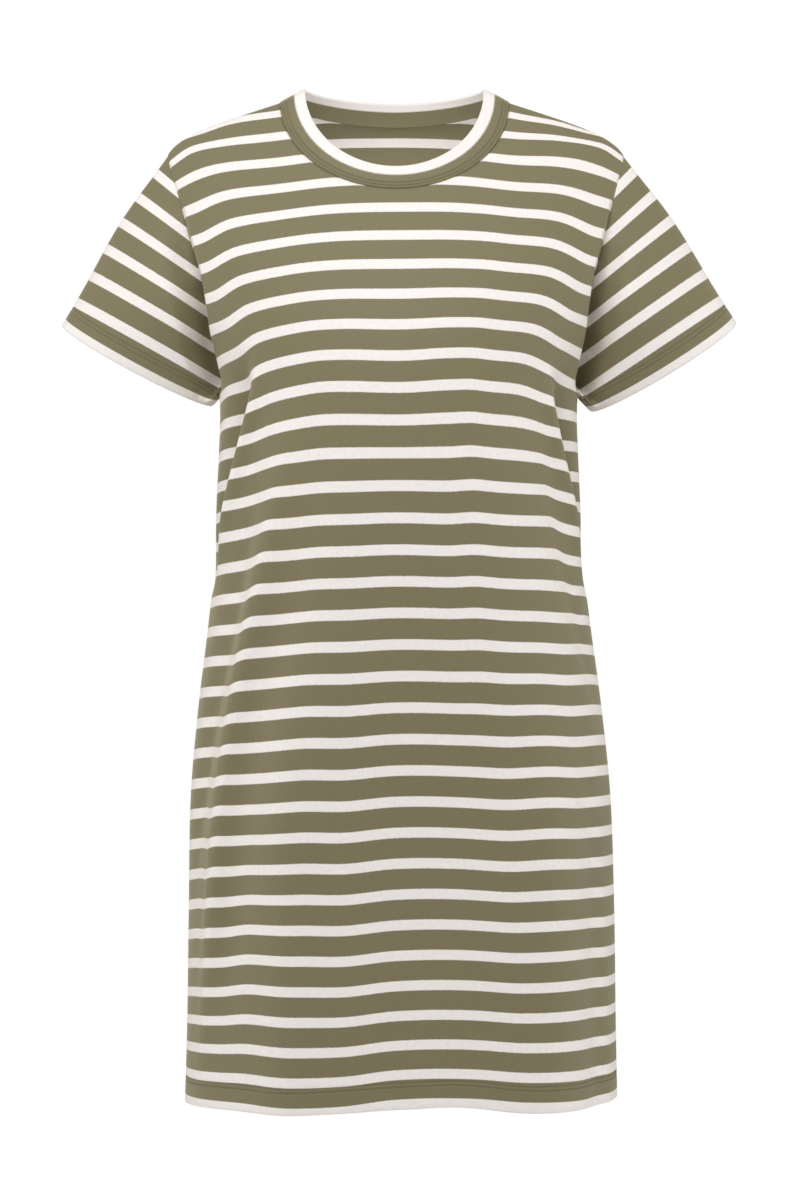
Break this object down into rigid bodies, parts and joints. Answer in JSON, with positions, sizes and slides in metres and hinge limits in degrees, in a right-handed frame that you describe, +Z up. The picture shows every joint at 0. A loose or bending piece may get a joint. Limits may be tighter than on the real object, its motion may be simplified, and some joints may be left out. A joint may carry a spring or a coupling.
{
  "type": "short-sleeved striped mini dress",
  "caption": "Straight crew-neck mini dress in striped jersey with short set-in sleeves, filled out as worn and hollow, open at neck, sleeves and hem",
  "frame": {"origin": "midway between the two high points of the shoulders, at the neck, where the wearer's shoulders hold the dress up", "axes": "+Z up along the body from hem to neck, the wearer faces -Y, +X is the wearer's left"},
  "size_m": [0.5867, 0.2317, 0.878],
  "materials": {
    "jersey": "matt cotton jersey, olive with white cross stripes"
  },
  "bodies": {
    "root": {"front": "jersey", "back": "jersey", "sleeve_left": "jersey", "sleeve_right": "jersey", "neckband": "jersey"}
  },
  "joints": []
}
